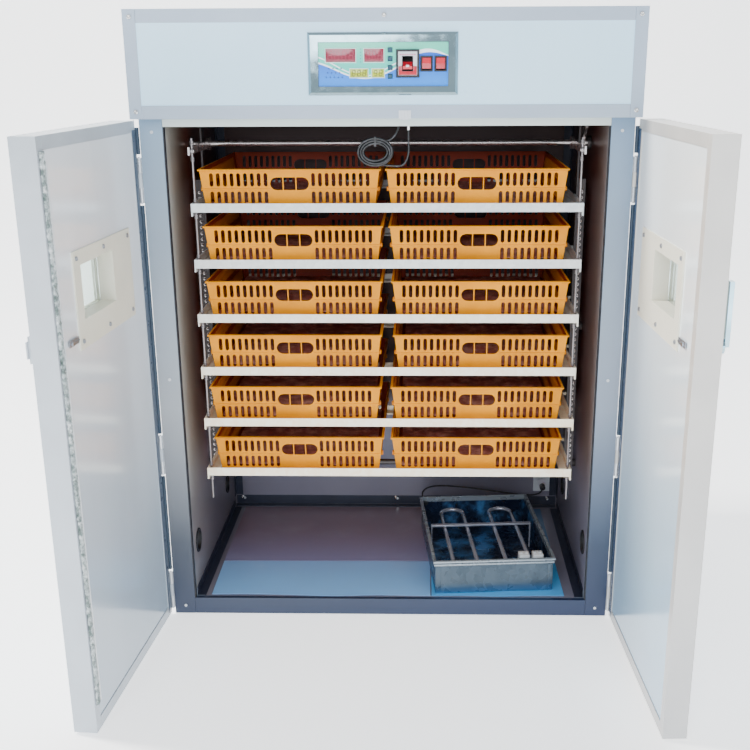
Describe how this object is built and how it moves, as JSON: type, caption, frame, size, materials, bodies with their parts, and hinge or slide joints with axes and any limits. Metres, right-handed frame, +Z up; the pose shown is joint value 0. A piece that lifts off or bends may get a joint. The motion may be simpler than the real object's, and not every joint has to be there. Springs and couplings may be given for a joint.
{
  "type": "egg incubator",
  "caption": "Insulated cabinet egg incubator with two open doors, tilting shelves of orange egg baskets, a control header and a heated water pan.",
  "frame": {"origin": "centre of the cabinet's base, on the floor", "axes": "+X to the right seen from the front, +Y to the back wall, +Z up"},
  "size_m": [1.1903, 1.1444, 1.3175],
  "materials": {
    "panel_skin": "pale blue-grey coated steel skin on foam",
    "aluminium_trim": "satin aluminium edge profile",
    "steel_fittings": "zinc plated steel",
    "rack_steel": "zinc plated steel",
    "shelf_galvanised": "pale coated steel angle",
    "gear_steel": "oiled steel",
    "motor_black": "black painted casting",
    "fan_guard": "black painted steel",
    "fan_blade": "black plastic",
    "basket_orange": "orange moulded plastic",
    "chrome_bezel": "polished chrome",
    "control_fascia": "turquoise and blue printed film",
    "control_housing": "grey sheet steel",
    "switch_red": "red plastic",
    "key_black": "black plastic",
    "cable_black": "black flexible sheath",
    "window_cream": "cream plastic",
    "window_glass": "clear glass",
    "seal_fleece": "grey-green pile strip",
    "pan_galvanised": "galvanised steel",
    "heater_steel": "stainless tube"
  },
  "bodies": {
    "cabinet": {"left_wall": "panel_skin", "right_wall": "panel_skin", "back_wall": "panel_skin", "roof": "panel_skin", "base_floor": "panel_skin", "header_panel": "panel_skin", "door_frame": "aluminium_trim", "edge_trims": "aluminium_trim", "cabinet_fittings": "steel_fittings", "cabinet_hinges": "steel_fittings", "rack_frame": "rack_steel", "turning_motor": "motor_black", "fan_unit": "fan_guard", "control_bezel": "chrome_bezel", "control_face": "control_fascia", "control_box": "control_housing", "sensor_cable": "cable_black", "sensor_coil": "cable_black"},
    "drive_shaft": {"turning_shaft": "rack_steel"},
    "motor_output": {"motor_pinion": "gear_steel"},
    "links": {"turning_links": "rack_steel"},
    "fan": {"fan_rotor": "fan_blade"},
    "tray_1": {"shelf_1": "shelf_galvanised"},
    "tray_2": {"shelf_2": "shelf_galvanised"},
    "tray_3": {"shelf_3": "shelf_galvanised"},
    "tray_4": {"shelf_4": "shelf_galvanised"},
    "tray_5": {"shelf_5": "shelf_galvanised"},
    "tray_6": {"shelf_6": "shelf_galvanised"},
    "egg_basket_1": {"basket_1": "basket_orange"},
    "egg_basket_2": {"basket_2": "basket_orange"},
    "egg_basket_3": {"basket_3": "basket_orange"},
    "egg_basket_4": {"basket_4": "basket_orange"},
    "egg_basket_5": {"basket_5": "basket_orange"},
    "egg_basket_6": {"basket_6": "basket_orange"},
    "egg_basket_7": {"basket_7": "basket_orange"},
    "egg_basket_8": {"basket_8": "basket_orange"},
    "egg_basket_9": {"basket_9": "basket_orange"},
    "egg_basket_10": {"basket_10": "basket_orange"},
    "egg_basket_11": {"basket_11": "basket_orange"},
    "egg_basket_12": {"basket_12": "basket_orange"},
    "breaker": {"breaker_lever": "switch_red"},
    "left_rocker": {"rocker_left": "switch_red"},
    "right_rocker": {"rocker_right": "switch_red"},
    "key_1": {"button_1": "key_black"},
    "key_2": {"button_2": "key_black"},
    "key_3": {"button_3": "key_black"},
    "key_4": {"button_4": "key_black"},
    "left_door": {"left_door_panel": "panel_skin", "left_door_trim": "aluminium_trim", "left_window_frame": "window_cream", "left_window_glass": "window_glass", "left_door_seal": "seal_fleece"},
    "right_door": {"right_door_panel": "panel_skin", "right_door_trim": "aluminium_trim", "right_window_frame": "window_cream", "right_window_glass": "window_glass"},
    "latch": {"latch_handle": "chrome_bezel"},
    "pan": {"water_pan": "pan_galvanised", "pan_heaters": "heater_steel", "pan_cable": "cable_black"}
  },
  "joints": [
    {"name": "tray_1_tilt", "type": "hinge", "parent": "cabinet", "child": "tray_1", "pos_m": [0, -0.04, 0.92], "axis": [1, 0, 0], "range_deg": [-35, 35]},
    {"name": "tray_2_tilt", "type": "hinge", "parent": "cabinet", "child": "tray_2", "pos_m": [0, -0.04, 0.8043], "axis": [1, 0, 0], "range_deg": [-35, 35]},
    {"name": "tray_3_tilt", "type": "hinge", "parent": "cabinet", "child": "tray_3", "pos_m": [0, -0.04, 0.6886], "axis": [1, 0, 0], "range_deg": [-35, 35]},
    {"name": "tray_4_tilt", "type": "hinge", "parent": "cabinet", "child": "tray_4", "pos_m": [0, -0.04, 0.5729], "axis": [1, 0, 0], "range_deg": [-35, 35]},
    {"name": "tray_5_tilt", "type": "hinge", "parent": "cabinet", "child": "tray_5", "pos_m": [0, -0.04, 0.4572], "axis": [1, 0, 0], "range_deg": [-35, 35]},
    {"name": "tray_6_tilt", "type": "hinge", "parent": "cabinet", "child": "tray_6", "pos_m": [0, -0.04, 0.3415], "axis": [1, 0, 0], "range_deg": [-35, 35]},
    {"name": "drive_shaft_turn", "type": "hinge", "parent": "cabinet", "child": "drive_shaft", "pos_m": [0, -0.04, 1.0357], "axis": [1, 0, 0], "range_deg": [-35, 35]},
    {"name": "motor_output_turn", "type": "hinge", "parent": "cabinet", "child": "motor_output", "pos_m": [0.425, -0.04, 1.1157], "axis": [1, 0, 0], "range_deg": [-105, 105]},
    {"name": "link_pivot", "type": "hinge", "parent": "tray_1", "child": "links", "pos_m": [0, -0.264, 0.92], "axis": [1, 0, 0], "range_deg": [-35, 35]},
    {"name": "basket_1_lift", "type": "slide", "parent": "tray_1", "child": "egg_basket_1", "axis": [0, 0, 1], "range_m": [0, 0.0087]},
    {"name": "basket_2_lift", "type": "slide", "parent": "tray_1", "child": "egg_basket_2", "axis": [0, 0, 1], "range_m": [0, 0.0087]},
    {"name": "basket_3_lift", "type": "slide", "parent": "tray_2", "child": "egg_basket_3", "axis": [0, 0, 1], "range_m": [0, 0.0087]},
    {"name": "basket_4_lift", "type": "slide", "parent": "tray_2", "child": "egg_basket_4", "axis": [0, 0, 1], "range_m": [0, 0.0087]},
    {"name": "basket_5_lift", "type": "slide", "parent": "tray_3", "child": "egg_basket_5", "axis": [0, 0, 1], "range_m": [0, 0.0087]},
    {"name": "basket_6_lift", "type": "slide", "parent": "tray_3", "child": "egg_basket_6", "axis": [0, 0, 1], "range_m": [0, 0.0087]},
    {"name": "basket_7_lift", "type": "slide", "parent": "tray_4", "child": "egg_basket_7", "axis": [0, 0, 1], "range_m": [0, 0.0087]},
    {"name": "basket_8_lift", "type": "slide", "parent": "tray_4", "child": "egg_basket_8", "axis": [0, 0, 1], "range_m": [0, 0.0087]},
    {"name": "basket_9_lift", "type": "slide", "parent": "tray_5", "child": "egg_basket_9", "axis": [0, 0, 1], "range_m": [0, 0.0087]},
    {"name": "basket_10_lift", "type": "slide", "parent": "tray_5", "child": "egg_basket_10", "axis": [0, 0, 1], "range_m": [0, 0.0087]},
    {"name": "basket_11_lift", "type": "slide", "parent": "tray_6", "child": "egg_basket_11", "axis": [0, 0, 1], "range_m": [0, 0.0087]},
    {"name": "basket_12_lift", "type": "slide", "parent": "tray_6", "child": "egg_basket_12", "axis": [0, 0, 1], "range_m": [0, 0.0087]},
    {"name": "fan_spin", "type": "hinge", "parent": "cabinet", "child": "fan", "pos_m": [0, 0, 1.203], "axis": [0, 0, 1], "continuous": true},
    {"name": "breaker_toggle", "type": "hinge", "parent": "cabinet", "child": "breaker", "pos_m": [0.0445, -0.336, 1.203], "axis": [1, 0, 0], "range_deg": [-48, 0]},
    {"name": "left_rocker_press", "type": "hinge", "parent": "cabinet", "child": "left_rocker", "pos_m": [0.0807, -0.339, 1.2027], "axis": [1, 0, 0], "range_deg": [0, 14]},
    {"name": "right_rocker_press", "type": "hinge", "parent": "cabinet", "child": "right_rocker", "pos_m": [0.1077, -0.339, 1.2027], "axis": [1, 0, 0], "range_deg": [0, 14]},
    {"name": "key_1_press", "type": "slide", "parent": "cabinet", "child": "key_1", "axis": [0, 1, 0], "range_m": [0, 0.001], "stiffness_N_per_m": 300, "springref_m": -0.001},
    {"name": "key_2_press", "type": "slide", "parent": "cabinet", "child": "key_2", "axis": [0, 1, 0], "range_m": [0, 0.001], "stiffness_N_per_m": 300, "springref_m": -0.001},
    {"name": "key_3_press", "type": "slide", "parent": "cabinet", "child": "key_3", "axis": [0, 1, 0], "range_m": [0, 0.001], "stiffness_N_per_m": 300, "springref_m": -0.001},
    {"name": "key_4_press", "type": "slide", "parent": "cabinet", "child": "key_4", "axis": [0, 1, 0], "range_m": [0, 0.001], "stiffness_N_per_m": 300, "springref_m": -0.001},
    {"name": "left_door_swing", "type": "hinge", "parent": "cabinet", "child": "left_door", "pos_m": [-0.5, -0.292, 0.5], "axis": [0, 0, -1], "range_deg": [-94.1, 75]},
    {"name": "right_door_swing", "type": "hinge", "parent": "cabinet", "child": "right_door", "pos_m": [0.5, -0.292, 0.5], "axis": [0, 0, 1], "range_deg": [-92.7, 75]},
    {"name": "latch_turn", "type": "hinge", "parent": "right_door", "child": "latch", "pos_m": [0.56905, -0.73724, 0.746], "axis": [0.9989, 0.0471, 0], "range_deg": [0, 90]},
    {"name": "pan_slide", "type": "slide", "parent": "cabinet", "child": "pan", "axis": [0, -1, 0], "range_m": [0, 0.3]}
  ],
  "couplings": [
    {"joint": "tray_2_tilt", "follows": "tray_1_tilt", "ratio": 1},
    {"joint": "tray_3_tilt", "follows": "tray_1_tilt", "ratio": 1},
    {"joint": "tray_4_tilt", "follows": "tray_1_tilt", "ratio": 1},
    {"joint": "tray_5_tilt", "follows": "tray_1_tilt", "ratio": 1},
    {"joint": "tray_6_tilt", "follows": "tray_1_tilt", "ratio": 1},
    {"joint": "drive_shaft_turn", "follows": "tray_1_tilt", "ratio": 1},
    {"joint": "motor_output_turn", "follows": "tray_1_tilt", "ratio": -3},
    {"joint": "link_pivot", "follows": "tray_1_tilt", "ratio": -1}
  ]
}
